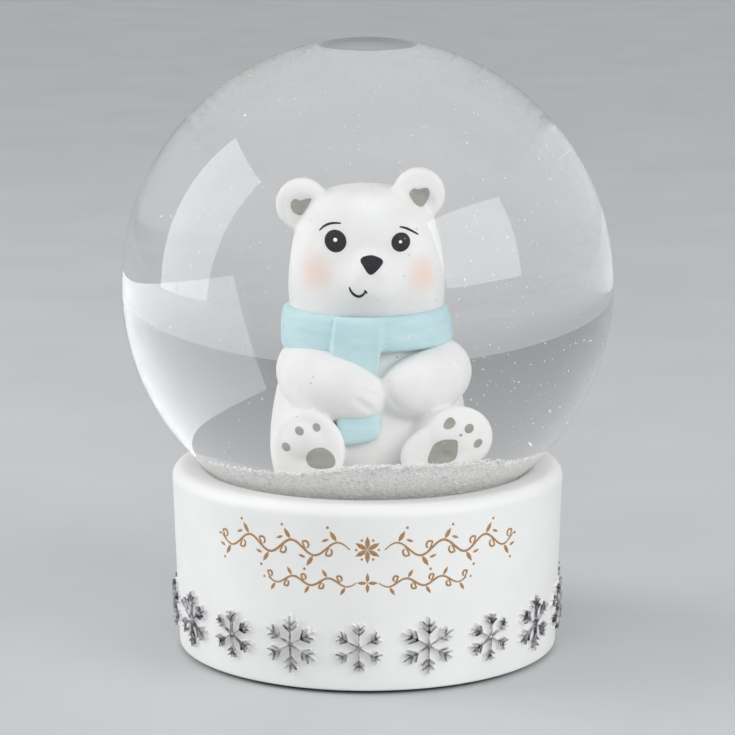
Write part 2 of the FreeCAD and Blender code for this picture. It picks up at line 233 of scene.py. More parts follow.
def silver_leafing():
    """Bright plated silver over cast relief: sharp mirror facets, pitted, with a darker patina in patches."""
    made, tree, place = blank("silver_plated_relief")
    pit = add(tree, "TexNoise", {"Vector": place, "Scale": per_mm(0.35), "Detail": 3})
    patina = add(tree, "TexNoise", {"Vector": place, "Scale": per_mm(1.3)})
    finish(tree, add(tree, "BsdfPrincipled", {
        "Base Color": add(
            tree, "ValToRGB", {"Fac": patina},
            stops=((0.34, "#7C7B7E"), (0.5, "#BDBCBF"), (0.7, "#F0EFF2"))),
        "Metallic": 1.0,
        "Roughness": add(tree, "MapRange", {"Value": pit, "To Min": 0.08, "To Max": 0.22}),
        "Normal": add(tree, "Bump", {"Height": pit, "Distance": 0.03 * MM, "Strength": 0.55})}))
    return made


def mottled(name, pattern, stops, roughness, depth_mm, strength, **inputs):
    """Finish whose colour, gloss and relief follow one noise, given as (size in mm, detail, roughness)."""
    made, tree, place = blank(name)
    size, detail, jumble = pattern
    tone = add(tree, "TexNoise", {
        "Vector": place, "Scale": per_mm(size), "Detail": detail, "Roughness": jumble})
    finish(tree, add(tree, "BsdfPrincipled", {
        "Base Color": add(tree, "ValToRGB", {"Fac": tone}, stops=stops),
        "Roughness": add(tree, "MapRange", {"Value": tone, "To Min": roughness[0], "To Max": roughness[1]}),
        "Normal": add(tree, "Bump", {"Height": tone, "Distance": depth_mm * MM, "Strength": strength}),
        **inputs}))
    return made


def bronze_print():
    """Bronze ink printed on the lacquer: thin, a little uneven, with a satin sheen."""
    return mottled(
        "bronze_ink", (0.5, 3, 0.5), ((0.3, "#A67E50"), (0.7, "#BC9566")), (0.40, 0.58), 0.01, 0.5,
        Metallic=0.25)


def pressed_felt():
    """Pressed black felt: matt, with tangled fibres of about 0.1 mm drawn at 0.3 mm so that they show."""
    return mottled(
        "pressed_black_felt", (0.3, 6, 0.7), ((0.3, "#17171A"), (0.75, "#3A3A3F")), (0.95, 0.95), 0.2, 0.9,
        **{"Sheen Weight": 0.4, "Sheen Roughness": 0.5})


def gloss_enamel(name, low, high, roughness):
    """Drop of enamel paint: dark and glossy with a slightly uneven skin."""
    return mottled(
        name, (0.9, 3, 0.5), ((0.35, low), (0.7, high)), (roughness, roughness + 0.1), 0.03, 0.4,
        IOR=IN_WATER)


def moulded_rubber(name, low, high, roughness):
    """Rubber or sealant inside the base: dull, with a bloom on its skin."""
    return mottled(
        name, (3, 4, 0.6), ((0.3, low), (0.7, high)), (roughness, roughness + 0.15), 0.04, 0.4)


def clear_side(name, ior):
    """One side of blown glass, or the water's top: clear and smooth. Lamps light the bear through it."""
    made, tree, place = blank(name)
    ripple = add(tree, "TexNoise", {"Vector": place, "Scale": per_mm(26), "Detail": 1})
    shown = add(tree, "BsdfPrincipled", {
        "Base Color": linear("#FFFFFF"), "Roughness": 0.0, "IOR": ior, "Transmission Weight": 1.0,
        "Normal": add(tree, "Bump", {"Height": ripple, "Distance": 0.04 * MM, "Strength": 0.25})})
    open_way = add(tree, "BsdfTransparent")
    rays = add(tree, "LightPath").outputs
    for kind in ("Is Diffuse Ray", "Is Shadow Ray"):
        shown = add(tree, "MixShader", {"Fac": rays[kind], 1: shown, 2: open_way})
    finish(tree, shown)
    return made


def clear_skin():
    """Side of the water that wets the glass and the bear: it bends no light, so nothing of it shows."""
    made, tree, _ = blank("water_against_glass")
    finish(tree, add(tree, "BsdfTransparent"))
    return made


def settled_snow():
    """Wet heap of fine plastic flakes of about half a millimetre: grainy greyish white, with painted shade
    darkening the gaps between grains.
    """
    made, tree, place = blank("settled_plastic_snow")
    cells = add(tree, "TexVoronoi", {"Vector": place, "Scale": per_mm(0.55)})
    fine = add(tree, "TexNoise", {"Vector": place, "Scale": per_mm(0.9), "Detail": 4, "Roughness": 0.65})
    # Painted shade: the colour darkens towards the cell edges, in the gaps between grains.
    shade = add(tree, "Math", {0: cells, 1: fine}, operation="MULTIPLY")
    finish(tree, add(tree, "BsdfPrincipled", {
        "Base Color": add(
            tree, "ValToRGB", {"Fac": shade},
            stops=((0.08, "#F3F3F0"), (0.30, "#E4E4E1"), (0.55, "#CDCDC9"))),
        "Roughness": add(tree, "MapRange", {"Value": fine, "To Min": 0.5, "To Max": 0.8}),
        "Normal": add(tree, "Bump", {"Height": shade, "Distance": 0.22 * MM, "Strength": 0.6})}))
    return made


def flake_plastic():
    """Single flake of white film: thin, glossy enough to glint."""
    made, tree, place = blank("white_film_flake")
    tone = add(tree, "TexNoise", {"Vector": place, "Scale": per_mm(2), "Detail": 1})
    finish(tree, add(tree, "BsdfPrincipled", {
        "Base Color": add(tree, "ValToRGB", {"Fac": tone}, stops=((0.35, "#DCE0E0"), (0.65, "#FBFBFB"))),
        "Roughness": add(tree, "MapRange", {"Value": tone, "To Min": 0.22, "To Max": 0.45}),
        "Specular IOR Level": 0.6}))
    return made


def painted_casting():
    """Resin casting in brushed matt white paint, with a breath of peach on the cheeks and a few pinholes."""
    made, tree, place = blank("painted_casting_white")
    wash = add(tree, "TexNoise", {"Vector": place, "Scale": per_mm(7), "Detail": 3})
    brush = add(tree, "TexNoise", {"Vector": place, "Scale": per_mm(0.8), "Detail": 3})
    pits = add(tree, "TexVoronoi", {"Vector": place, "Scale": per_mm(3)})
    uneven = add(tree, "MapRange", {"Value": wash, "To Min": 0.75, "To Max": 1.15})
    paint = add(tree, "ValToRGB", {"Fac": wash}, stops=((0.3, "#E6E5E3"), (0.7, "#EFEFED")))
    for centre, reach in CHEEKS:
        away = add(tree, "VectorMath", {0: place, 1: [c * MM for c in centre]}, operation="DISTANCE")
        near = add(tree, "MapRange", {
            "Value": away.outputs["Value"], "From Min": 0.1 * reach * MM, "From Max": reach * MM,
            "To Min": BLUSH, "To Max": 0.0}, interpolation_type="SMOOTHSTEP")
        patchy = add(tree, "Math", {0: near, 1: uneven}, operation="MULTIPLY")
        paint = add(tree, "MixRGB", {"Fac": patchy, "Color1": paint, "Color2": linear("#F3BC9E")})
    finish(tree, add(tree, "BsdfPrincipled", {
        "Base Color": add(tree, "MixRGB", {
            "Fac": add(tree, "ValToRGB", {"Fac": pits}, stops=((0.035, 0.0), (0.07, 1.0))),
            "Color1": linear("#C2C0BB"), "Color2": paint}),
        "Roughness": add(tree, "MapRange", {"Value": brush, "To Min": 0.44, "To Max": 0.6}),
        "IOR": IN_WATER,
        "Subsurface Weight": 0.3, "Subsurface Radius": (1.0, 0.85, 0.8), "Subsurface Scale": 1.5 * MM,
        "Normal": add(tree, "Bump", {"Height": brush, "Distance": 0.03 * MM, "Strength": 0.5})}))
    return made


def brushed_paint(name, low, high, roughness):
    """Matt paint laid on with a small brush: level streaks, evened out towards the lighter tone in patches.
    """
    made, tree, place = blank(name)
    flat = add(tree, "Mapping", {"Vector": place, "Scale": (0.22, 0.22, 1.0)})
    streak = add(tree, "TexNoise", {"Vector": flat, "Scale": per_mm(1.4), "Detail": 4, "Roughness": 0.6})
    cloud = add(tree, "TexNoise", {"Vector": place, "Scale": per_mm(5)})
    colour = add(tree, "MixRGB", {
        "Fac": add(tree, "MapRange", {"Value": cloud, "To Min": 0.1, "To Max": 0.5}),
        "Color1": add(tree, "ValToRGB", {"Fac": streak}, stops=((0.32, low), (0.68, high))),
        "Color2": linear(high)})
    finish(tree, add(tree, "BsdfPrincipled", {
        "Base Color": colour,
        "Roughness": add(tree, "MapRange", {
            "Value": streak, "To Min": roughness, "To Max": roughness + 0.12}),
        "IOR": IN_WATER,
        "Normal": add(tree, "Bump", {"Height": streak, "Distance": 0.03 * MM, "Strength": 0.5})}))
    return made


BASE_LACQUER = cast_polyresin()
SILVER = silver_leafing()
BRONZE = bronze_print()
FELT = pressed_felt()
GLASS = clear_side("blown_soda_glass", GLASS_IOR)
WET_GLASS = clear_side("blown_soda_glass_wet_side", round(GLASS_IOR / WATER_IOR, 3))
WATER_TOP = clear_side("water_level", WATER_IOR)
WATER_SKIN = clear_skin()
SNOW = settled_snow()
FLAKE = flake_plastic()
BEAR_PAINT = painted_casting()
SCARF_PAINT = brushed_paint("scarf_paint_pale_blue", "#B4D6DA", "#C9E3E7", 0.5)
PAW_PAINT = brushed_paint("paw_paint_warm_grey", "#8E9186", "#A6A79E", 0.55)
EYE_ENAMEL = gloss_enamel("black_enamel", "#07070B", "#15161E", 0.22)
LINE_PAINT = gloss_enamel("black_line_paint", "#0E0E10", "#26262A", 0.4)
# Painted highlight: white glint dots on the eyes stand in for reflections of light.
PAINTED_GLINT = gloss_enamel("painted_eye_glint", "#F4F4F4", "#FFFFFF", 0.25)
RUBBER = moulded_rubber("moulded_white_rubber", "#C9C8C2", "#DCDBD6", 0.6)
SEALANT = moulded_rubber("silicone_sealant", "#CFCFCB", "#E4E3DE", 0.35)
EPOXY = moulded_rubber("clear_epoxy", "#CFC8B2", "#DDD8C6", 0.2)


# ---------------------------------------------------------------- mesh helpers

def new_piece(name, points, faces, materials, edges=(), smooth=True, face_slots=None):
    """Mesh object at the origin, from points in millimetres."""
    mesh = bpy.data.meshes.new(name)
    mesh.from_pydata([tuple(c * MM for c in point) for point in points], edges, [tuple(f) for f in faces])
    for material in materials:
        mesh.materials.append(material)
    if face_slots is not None:
        mesh.polygons.foreach_set("material_index", face_slots)
    mesh.polygons.foreach_set("use_smooth", [smooth] * len(mesh.polygons))
    mesh.update()
    piece = bpy.data.objects.new(name, mesh)
    bpy.context.scene.collection.objects.link(piece)
    return piece


def modify(piece, kind, **settings):
    """Adds a modifier with its settings."""
    made = piece.modifiers.new(kind.lower(), kind)
    for name, value in settings.items():
        setattr(made, name, value)
    return made


def apply_stack(piece):
    """Bakes a piece's modifiers into its mesh."""
    graph = bpy.context.evaluated_depsgraph_get()
    baked = bpy.data.meshes.new_from_object(piece.evaluated_get(graph))
    old = piece.data
    piece.modifiers.clear()
    piece.data = baked
    bpy.data.meshes.remove(old)
    baked.name = piece.name


def outward(piece):
    """Turns a closed mesh's faces outward."""
    work = bmesh.new()
    work.from_mesh(piece.data)
    bmesh.ops.recalc_face_normals(work, faces=work.faces)
    work.to_mesh(piece.data)
    work.free()


def corners_mm(piece):
    """A mesh's points as an array, in millimetres."""
    flat = np.empty(len(piece.data.vertices) * 3)
    piece.data.vertices.foreach_get("co", flat)
    return flat.reshape(-1, 3) / MM


def move_corners(piece, points):
    """Puts a mesh's points back from an array in millimetres."""
    piece.data.vertices.foreach_set("co", (points * MM).ravel())
    piece.data.update()


def merged(name, pieces, material):
    """One mesh object out of several, which are removed."""
    work = bmesh.new()
    for piece in pieces:
        mesh = piece.data
        work.from_mesh(mesh)
        bpy.data.objects.remove(piece)
        bpy.data.meshes.remove(mesh)
    made = new_piece(name, [], [], [material])
    work.to_mesh(made.data)
    work.free()
    return made


def turned(name, outline, materials, steps=192):
    """Body of revolution: a Screw of a half-outline of (across, up) points that runs from top to bottom."""
    points = [(across, 0, up) for across, up in outline]
    edges = [(i, i + 1) for i in range(len(points) - 1)]
    piece = new_piece(name, points, [], materials, edges=edges)
    modify(piece, "SCREW", steps=steps, render_steps=steps, use_merge_vertices=True,
           merge_threshold=0.001 * MM, use_smooth_shade=True)
    apply_stack(piece)
    return piece


def arc(centre, radius, start, stop, steps):
    """Points of an arc in the half-section plane, angles in degrees from +X."""
    return [
        (centre[0] + radius * math.cos(math.radians(start + (stop - start) * i / steps)),
         centre[1] + radius * math.sin(math.radians(start + (stop - start) * i / steps)))
        for i in range(steps + 1)]


def ball_arc(radius, start, stop, steps):
    """Points on a ball about the globe's centre, between two angles in degrees above its middle."""
    return arc((0, BALL_CENTRE), radius, start, stop, steps)


def angle_at(radius, height):
    """Angle above the ball's middle, in degrees, of that height on a ball about the globe's centre."""
    return math.degrees(math.asin((height - BALL_CENTRE) / radius))


def hardened(piece, angle):
    """Keeps the edges that turn by more than the angle crisp under smooth shading."""
    piece.data.set_sharp_from_angle(angle=math.radians(angle))


def smooth_line(points, steps, closed=False):
    """Catmull-Rom line through points of any dimension."""
    points = [np.array(point, float) for point in points]
    count = len(points)
    line = []
    for i in range(count if closed else count - 1):
        if closed:
            p0, p1, p2, p3 = (points[(i + k - 1) % count] for k in range(4))
        else:
            p0, p1, p2, p3 = (points[min(max(i + k - 1, 0), count - 1)] for k in range(4))
        for step in range(steps):
            t = step / steps
            line.append(0.5 * (
                2 * p1 + (p2 - p0) * t + (2 * p0 - 5 * p1 + 4 * p2 - p3) * t ** 2
                + (3 * p1 - p0 - 3 * p2 + p3) * t ** 3))
    if not closed:
        line.append(points[-1])
    return line


class Cast:
    """Points and faces of one mesh, gathered from many closed shapes."""

    def __init__(self):
        self.points, self.faces, self.slots = [], [], []

    def rings(self, rings, slot=0, looped=False):
        """Skin over rings of equal count: closed by end faces, or joined end to start if looped."""
        first = len(self.points)
        count = len(rings[0])
        for ring in rings:
            self.points.extend(tuple(point) for point in ring)
        spans = len(rings) if looped else len(rings) - 1
        for span in range(spans):
            low = first + span * count
            high = first + (span + 1) % len(rings) * count
            for i in range(count):
                j = (i + 1) % count
                self.faces.append((low + i, low + j, high + j, high + i))
        if not looped:
            self.faces.append(tuple(first + i for i in reversed(range(count))))
            last = first + (len(rings) - 1) * count
            self.faces.append(tuple(last + i for i in range(count)))
        self.slots.extend([slot] * (len(self.faces) - len(self.slots)))

    def piece(self, name, materials, smooth=True):
        """The gathered shapes as one object with its faces outward."""
        made = new_piece(name, self.points, self.faces, materials, smooth=smooth, face_slots=self.slots)
        outward(made)
        return made


def ribbon(cast, line, half_widths, place, section, slot=0):
    """Closed raised stroke along a flat line. section lists (share of half width, lift) from side to side.

    place takes the two flat coordinates and the lift off the surface.
    """
    line = [np.array(point, float) for point in line]
    rings = []
    for i, point in enumerate(line):
        way = line[min(i + 1, len(line) - 1)] - line[max(i - 1, 0)]
        way = way / np.linalg.norm(way)
        side = np.array((-way[1], way[0]))
        width = half_widths[i]
        ring = [place(*(point + side * share * width), lift) for share, lift in section]
        rings.append(ring + [place(*(point + side * share * width), -0.2) for share in (0.8, -0.8)])
    cast.rings(rings, slot)


def blob(cast, outline, place, dome, under=0.25):
    """Closed low dome over a flat outline, on the surface that place gives."""
    outline = np.array(outline)
    middle = outline.mean(axis=0)
    rings = [[place(*(middle + (point - middle) * 0.8), -under) for point in outline]]
    for share in (1.0, 0.93, 0.8, 0.6, 0.35, 0.1):
        lift = dome * (1 - share ** 4) - 0.02 * (share == 1.0)
        rings.append([place(*(middle + (point - middle) * share), lift) for point in outline])
    cast.rings(rings)


# ---------------------------------------------------------------- glass, water and base

def make_glass():
    """Ball with a neck: dry outside and in the bubble, wet on the rest of its inside."""
    shoulder = -math.degrees(math.acos(NECK_RADIUS / BALL_RADIUS))
    mouth = -math.degrees(math.acos(MOUTH_RADIUS / BALL_INSIDE))
    level = angle_at(BALL_INSIDE, WATER_LEVEL)
    outline = ball_arc(BALL_RADIUS, 90, shoulder, 160)
    outline += arc((NECK_RADIUS - GLASS_WALL / 2, NECK_FOOT + GLASS_WALL / 2), GLASS_WALL / 2, 0, -180, 10)
    outline += ball_arc(BALL_INSIDE, mouth, level, 150)
    outline += ball_arc(BALL_INSIDE, level, 90, 10)[1:]
    piece = turned("globe_glass", outline, [GLASS, WET_GLASS], steps=256)
    for face in piece.data.polygons:
        middle = face.center / MM
        near_inside = math.dist(middle, (0, 0, BALL_CENTRE)) < BALL_INSIDE + 0.1
        if near_inside and NECK_FOOT + GLASS_WALL < middle.z < WATER_LEVEL:
            face.material_index = 1
    return piece


def make_water():
    """Filling with a level top: only that top, under the air bubble, bends light."""
    edge = ball_across(BALL_INSIDE, WATER_LEVEL)
    skin = BALL_INSIDE - 0.01
    foot = SNOW_LEVEL - 1.5
    outline = [(0, WATER_LEVEL), (edge - 1.4, WATER_LEVEL), (edge - 0.7, WATER_LEVEL + 0.02)]
    outline += ball_arc(skin, angle_at(skin, WATER_LEVEL + 0.12), angle_at(skin, foot), 60)
    outline += [(0, foot)]
    piece = turned("water_fill", outline, [WATER_SKIN, WATER_TOP], steps=128)
    for face in piece.data.polygons:
        if face.center.z / MM > WATER_LEVEL - 0.02 and face.normal.z > 0.98:
            face.material_index = 1
    return piece


def make_base():
    """Cast base: tapered wall with a soft rim, curved seat, well, floor and the cavity underneath."""
    lean = math.degrees(math.atan2(BASE_TOP_RADIUS - BASE_FOOT_RADIUS, BASE_TOP - BASE_FOOT))
    seat_edge = ball_across(SEAT_RADIUS, BASE_TOP)
    outline = [(0, WELL_FLOOR), (WELL_RADIUS, WELL_FLOOR)]
    outline += [
        (across, ball_underside(SEAT_RADIUS, across))
        for across in np.linspace(WELL_RADIUS, seat_edge - 0.4, 5)]
    outline += [
        (seat_edge - 0.1, BASE_TOP - 0.35), (seat_edge + 0.1, BASE_TOP - 0.08), (seat_edge + 0.4, BASE_TOP)]
    outline += arc(
        (BASE_TOP_RADIUS - RIM_ROUND - 0.03, BASE_TOP - RIM_ROUND), RIM_ROUND, 90, -lean, 14)
    outline += [(wall_radius(height), height) for height in np.linspace(BASE_TOP - 4, BASE_FOOT + 2, 9)]
    outline += arc((BASE_FOOT_RADIUS - FOOT_ROUND, BASE_FOOT + FOOT_ROUND), FOOT_ROUND, -lean, -90, 6)
    outline += [(BASE_FOOT_RADIUS - BASE_WALL, BASE_FOOT), (CAVITY_TOP_RADIUS, CAVITY_TOP), (0, CAVITY_TOP)]
    piece = turned("base_shell", outline, [BASE_LACQUER], steps=256)
    hardened(piece, 50)
    return piece


def make_pad():
    """Felt disc with a softly rounded edge."""
    radius = pad_high[0]
    top = pad_high[2]
    outline = [(0, top)] + arc((radius - top / 2, top / 2), top / 2, 90, -90, 8) + [(0, 0)]
    return turned("felt_pad", outline, [FELT], steps=192)


# ---------------------------------------------------------------- snowflakes and ornament on the base

# Each branch pair as (where it leaves the arm, its length), both as shares of the arm.
SMALL_FLAKE = (4.75, ((0.54, 0.34), (0.74, 0.33)))
LARGE_FLAKE = (5.75, ((0.44, 0.34), (0.65, 0.31)))
BRANCH_ANGLE = math.radians(46)
ARM_HALF_WIDTH = 0.15
BRANCH_HALF_WIDTH = 0.175
HUB_RADIUS = 0.5
HUB_LIFT = 0.62

WHITE_SECTION = ((-1, -0.05), (-0.84, 0.26), (-0.5, 0.44), (0.5, 0.44), (0.84, 0.26), (1, -0.05))
SILVER_SECTION = ((-1, 0.42), (-0.7, 0.74), (0, 1.15), (0.7, 0.74), (1, 0.42))
# How far the white foot of a ridge reaches past its silver.
MARGIN = 0.22


def make_flake(index):
    """Cast snowflake: silvered ridges that stand on a wider white under-relief."""
    arm_length, pairs = SMALL_FLAKE if index % 2 == 0 else LARGE_FLAKE
    turn = FLAKE_FIRST_ANGLE + index * FLAKE_STEP
    cast = Cast()

    def place(across, up, lift):
        return on_wall(across, FLAKE_HEIGHT + up, lift, turn)

    def stroke(start, stop, half_width, tip):
        """Straight ridge of silver that thins to its tip, on its wider white foot."""
        start, stop = np.array(start), np.array(stop)
        line = [start + (stop - start) * share for share in (0, 0.35, 0.7, 0.92, 1)]
        shares = (1, 1, 0.95, 0.75, tip)
        silver = [half_width * share for share in shares]
        ribbon(cast, line, silver, place, SILVER_SECTION, 0)
        way = (stop - start) / np.linalg.norm(stop - start)
        wide = line[:-1] + [stop + way * MARGIN * 0.8]
        ribbon(cast, wide, [width + MARGIN for width in silver[:-1]] + [MARGIN], place, WHITE_SECTION, 1)

    for arm in range(6):
        angle = math.radians(90 + 60 * arm)
        way = np.array((math.cos(angle), math.sin(angle)))
        stroke(way * 0.05, way * arm_length, ARM_HALF_WIDTH + 0.02 * rng.random(), 0.5)
        for where, share in pairs:
            for side in (-1, 1):
                branch = angle + side * BRANCH_ANGLE
                reach = arm_length * share * rng.uniform(0.93, 1.05)
                start = way * arm_length * where
                stop = start + np.array((math.cos(branch), math.sin(branch))) * reach
                stroke(start, stop, BRANCH_HALF_WIDTH + 0.025 * rng.random(), 0.4)
    hub = [(HUB_RADIUS * c, HUB_RADIUS * s) for _, c, s in round_steps(12)]
    blob(cast, hub, lambda u, v, lift: place(u, v, lift + (HUB_LIFT if lift > -0.1 else 0)), 0.5)
    piece = cast.piece("snowflake_%02d_relief" % (index + 1), [SILVER, BASE_LACQUER])
    hardened(piece, 28)
    return piece


INK_SECTION = ((-1, -0.03), (-0.8, 0.05), (0, 0.075), (0.8, 0.05), (1, -0.03))
INK_DOME = 0.07
UPPER_ROW = 29.6
LOWER_ROW = 22.9


def make_ornament():
    """Two rows of printed ornament: a vine with curled tendrils and leaves, over a shorter row of curls."""
    cast = Cast()

    def brush(points, width, steps):
        """Stroke that swells from fine ends to its full width."""
        line = smooth_line(points, steps)
        swell = [
            math.sin(math.pi * min(max(i / (len(line) - 1), 0.02), 0.98)) ** 0.5 for i in range(len(line))]
        ribbon(cast, line, [0.5 * width * (0.35 + 0.65 * share) for share in swell], on_wall, INK_SECTION)

    def dot(across, up, radius):
        blob(cast, [(across + radius * c, up + radius * s) for _, c, s in round_steps(12)], on_wall, INK_DOME)

    def leaf(across, up, degrees, length, side=1):
        """Pointed leaf. Its angle counts from the row, away from the middle on either side."""
        angle = math.radians(degrees if side > 0 else 180 - degrees)
        way = np.array((math.cos(angle), math.sin(angle)))
        over = np.array((-way[1], way[0]))
        start = np.array((across, up))
        shares = ((0, 0), (0.3, 0.16), (0.6, 0.17), (0.85, 0.07), (1, 0))
        outline = [start + way * length * a + over * length * b for a, b in shares]
        outline += [start + way * length * a - over * length * b for a, b in reversed(shares[1:-1])]
        blob(cast, outline, on_wall, INK_DOME)

    def curl(across, up, reach, rise, hand):
        """Tendril that leaves the stem and winds in on itself."""
        turns = [
            (across + hand * (reach + reach * 0.55 * (1 - t) * math.cos(4.2 * t + 0.6)),
             up + rise * (0.62 + 0.50 * (1 - t) * math.sin(4.2 * t + 0.6)))
            for t in np.linspace(0.0, 0.85, 9)]
        brush([(across, up), (across + hand * reach * 0.9, up + rise * 0.22)] + turns, 0.46, 5)

    def vine(middle, swing, start, wave, stem, width, curls, reach, rise):
        """Both halves of a row: its waved stem and its curls. Gives each curl's (side, across, up, way)."""
        def height(across):
            return middle + swing * math.sin((across - start) / wave * 2 * math.pi)

        for side in (-1, 1):
            brush([(side * across, height(across)) for across in np.arange(start, *stem)], width, 4)
            for number, across in enumerate(np.arange(*curls)):
                way = -math.copysign(1, swing) * (-1) ** number
                curl(side * across, height(across), reach, way * rise, side)
                yield side, across, height(across), way

    for side, across, up, way in vine(
            UPPER_ROW, 1.4, 3.4, 9.4, (32.2, 1.2), 0.54, (5.6, 30.5, 4.7), 1.75, 2.7):
        leaf(side * (across + 0.4), up - way * 0.1, -way * 58, 2.6, side)
        leaf(side * (across + 1.9), up - way * 0.6, way * 20, 1.7, side)
        dot(side * (across + 2.2), up - way * 2.9, 0.3)
    for spoke in range(6):
        leaf(0, UPPER_ROW, 30 + 60 * spoke, 2.8)
    for _, c, s in round_steps(6):
        dot(2.2 * c, UPPER_ROW + 2.2 * s, 0.26)

    for side, across, up, way in vine(
            LOWER_ROW, -0.8, 2.2, 7.2, (20.6, 1.0), 0.48, (4.0, 19.5, 3.6), 1.35, 2.1):
        leaf(side * (across + 0.3), up - way * 0.1, -way * 58, 2.0, side)
    for spoke in range(4):
        leaf(0, LOWER_ROW, 90 * spoke, 2.1)

    for side in (-1, 1):
        dot(side * 32.6, UPPER_ROW + 0.4, 0.3)
        dot(side * 21.2, LOWER_ROW, 0.26)
    return cast.piece("bronze_ornament", [BRONZE])


# ---------------------------------------------------------------- bear

RING_COUNT = 16


def oval(centre, half_width, half_depth, exponent):
    """Level ring: a superellipse about a centre."""
    return [
        (centre[0] + half_width * squared_off(c, 2 / exponent),
         centre[1] + half_depth * squared_off(s, 2 / exponent), centre[2])
        for _, c, s in round_steps(RING_COUNT)]


def mass(name, rings):
    """One rounded mass of the figure: a coarse cage of rings under a subdivision surface."""
    cast = Cast()
    cast.rings(rings)
    piece = cast.piece(name, [])
    modify(piece, "SUBSURF", levels=2, render_levels=2)
    apply_stack(piece)
    return piece


def limb(name, path, radii):
    """Mass that follows a path of points, with a radius at each and rounded ends."""
    path = [Vector(point) for point in path]
    stations = []
    for i, point in enumerate(path):
        way = (path[min(i + 1, len(path) - 1)] - path[max(i - 1, 0)]).normalized()
        stations.append((point, way, radii[i]))
    first_point, first_way, first_radius = stations[0]
    last_point, last_way, last_radius = stations[-1]
    stations.insert(0, (first_point - first_way * first_radius * 0.65, first_way, first_radius * 0.76))
    stations.insert(0, (first_point - first_way * first_radius * 0.98, first_way, first_radius * 0.3))
    stations.append((last_point + last_way * last_radius * 0.65, last_way, last_radius * 0.76))
    stations.append((last_point + last_way * last_radius * 0.98, last_way, last_radius * 0.3))
    rings = []
    side = Vector((0, 0, 1))
    for point, way, radius in stations:
        along = (side - way * side.dot(way)).normalized()
        other = way.cross(along)
        rings.append([point + along * radius * c + other * radius * s for _, c, s in round_steps(RING_COUNT)])
    return mass(name, rings)


def disc(name, centre, facing, half_width, half_height, thickness, crown):
    """Foot or ear: a round-edged disc that faces along a direction."""
    way = Vector(facing).normalized()
    up = (Vector((0, 0, 1)) - way * way.z).normalized()
    across = up.cross(way)
    middle = Vector(centre)
    rings = []
    for back, share in (
            (1.00, 0.45), (0.97, 0.80), (0.78, 0.97), (0.45, 1.02), (0.18, 1.0), (0.04, 0.88), (0.0, 0.6),
            (-crown / thickness, 0.25)):
        rings.append([
            middle - way * back * thickness + across * half_width * share * c + up * half_height * share * s
            for _, c, s in round_steps(RING_COUNT)])
    return mass(name, rings)


def united(name, pieces, material, voxel, smoothing):
    """One skin over overlapping masses, with the creases between them softened as a cast has them."""
    made = merged(name, pieces, material)
    modify(made, "REMESH", mode="VOXEL", voxel_size=voxel * MM, use_smooth_shade=True)
    modify(made, "SMOOTH", factor=0.5, iterations=smoothing)
    apply_stack(made)
    return made


def groove(points, line, radius, depth, inward):
    """Presses a soft groove along a line of points into an array of points."""
    line = [np.array(point, float) for point in line]
    nearest = np.full(len(points), np.inf)
    for start, stop in zip(line, line[1:]):
        span = stop - start
        share = np.clip((points - start) @ span / (span @ span), 0, 1)
        nearest = np.minimum(nearest, np.linalg.norm(points - start - share[:, None] * span, axis=1))
    press = depth * np.clip(1 - (nearest / radius) ** 2, 0, 1) ** 2
    points += press[:, None] * np.array(inward)


LEFT_FOOT = (-10.25, -21.0, 50.0)
RIGHT_FOOT = (15.5, -19.6, 51.6)
RIGHT_HEEL = (11.8, -20.75, 48.6)
# Swellings of the muzzle as ((across, up), half width, half height, height).
MUZZLE = (((0.7, 77.2), 7.2, 6.9, 1.4), ((0.7, 78.6), 5.0, 5.2, 1.2))
# Hollow of each ear as ((across, up), radius, depth).
EAR_DENTS = (((-10.3, 87.9), 3.0, 1.3), ((8.3, 89.2), 2.7, 1.1))
# Each groove as (points along it, radius, depth).
PAW_GROOVES = (
    (((-1.8, -20.5, 58.8), (-0.5, -20.2, 57.9), (0.8, -19.5, 56.9)), 1.1, 0.42),
    (((-1.0, -20.4, 60.6), (0.4, -20.1, 60.1), (1.8, -19.5, 59.5)), 1.1, 0.28),
    (((-0.8, -19.7, 62.3), (1.8, -18.7, 61.5)), 1.1, 0.20),
    (((3.7, -18.3, 61.4), (3.9, -18.9, 59.4), (4.6, -19.2, 57.9), (5.5, -19.0, 56.9)), 1.3, 0.50))


HEAD_AXIS = (-0.15, -3.8)
# Each ring of the head as (height, half width, half depth, squareness).
HEAD = (
    (69.0, 11.3, 9.8, 2.2), (71.5, 12.1, 10.5, 2.25), (75.0, 12.5, 11.0, 2.3),
    (78.7, 12.35, 11.0, 2.35), (82.4, 11.85, 10.6, 2.35), (85.8, 11.1, 9.9, 2.3),
    (88.5, 9.9, 8.6, 2.2), (90.3, 7.7, 6.6, 2.1), (91.3, 4.6, 4.0, 2.0))
TRUNK_AXIS = (0.2, -3.6)
TRUNK_SQUARENESS = 2.2
# Each ring of the trunk as (height, half width, half depth).
TRUNK = (
    (43.6, 12.6, 11.6), (44.6, 14.6, 13.4), (48.5, 15.6, 14.4), (53.0, 15.6, 14.2), (57.5, 15.0, 12.8),
    (62.0, 14.0, 11.2), (66.0, 12.9, 10.4), (70.0, 12.0, 9.6), (72.0, 9.0, 7.0))
# Each limb as (points along it, radius at each).
LIMBS = {
    "arm_left": (
        ((-9.4, -3.4, 63.4), (-10.0, -7.8, 62.4), (-8.1, -12.2, 61.4), (-4.4, -14.7, 60.1),
         (-1.6, -15.6, 59.2)), (4.6, 5.1, 6.1, 6.0, 5.1)),
    "arm_right": (
        ((11.0, -3.6, 63.2), (12.2, -7.6, 62.4), (10.8, -12.0, 61.6), (7.1, -14.7, 60.3)),
        (4.7, 5.0, 5.4, 5.5)),
    "leg_left": (((-8.6, -7.0, 50.4), (-10.6, -16.5, 50.9)), (6.4, 6.0)),
    "leg_right": (((8.4, -7.0, 50.6), (13.4, -15.5, 51.6)), (6.6, 6.2))}
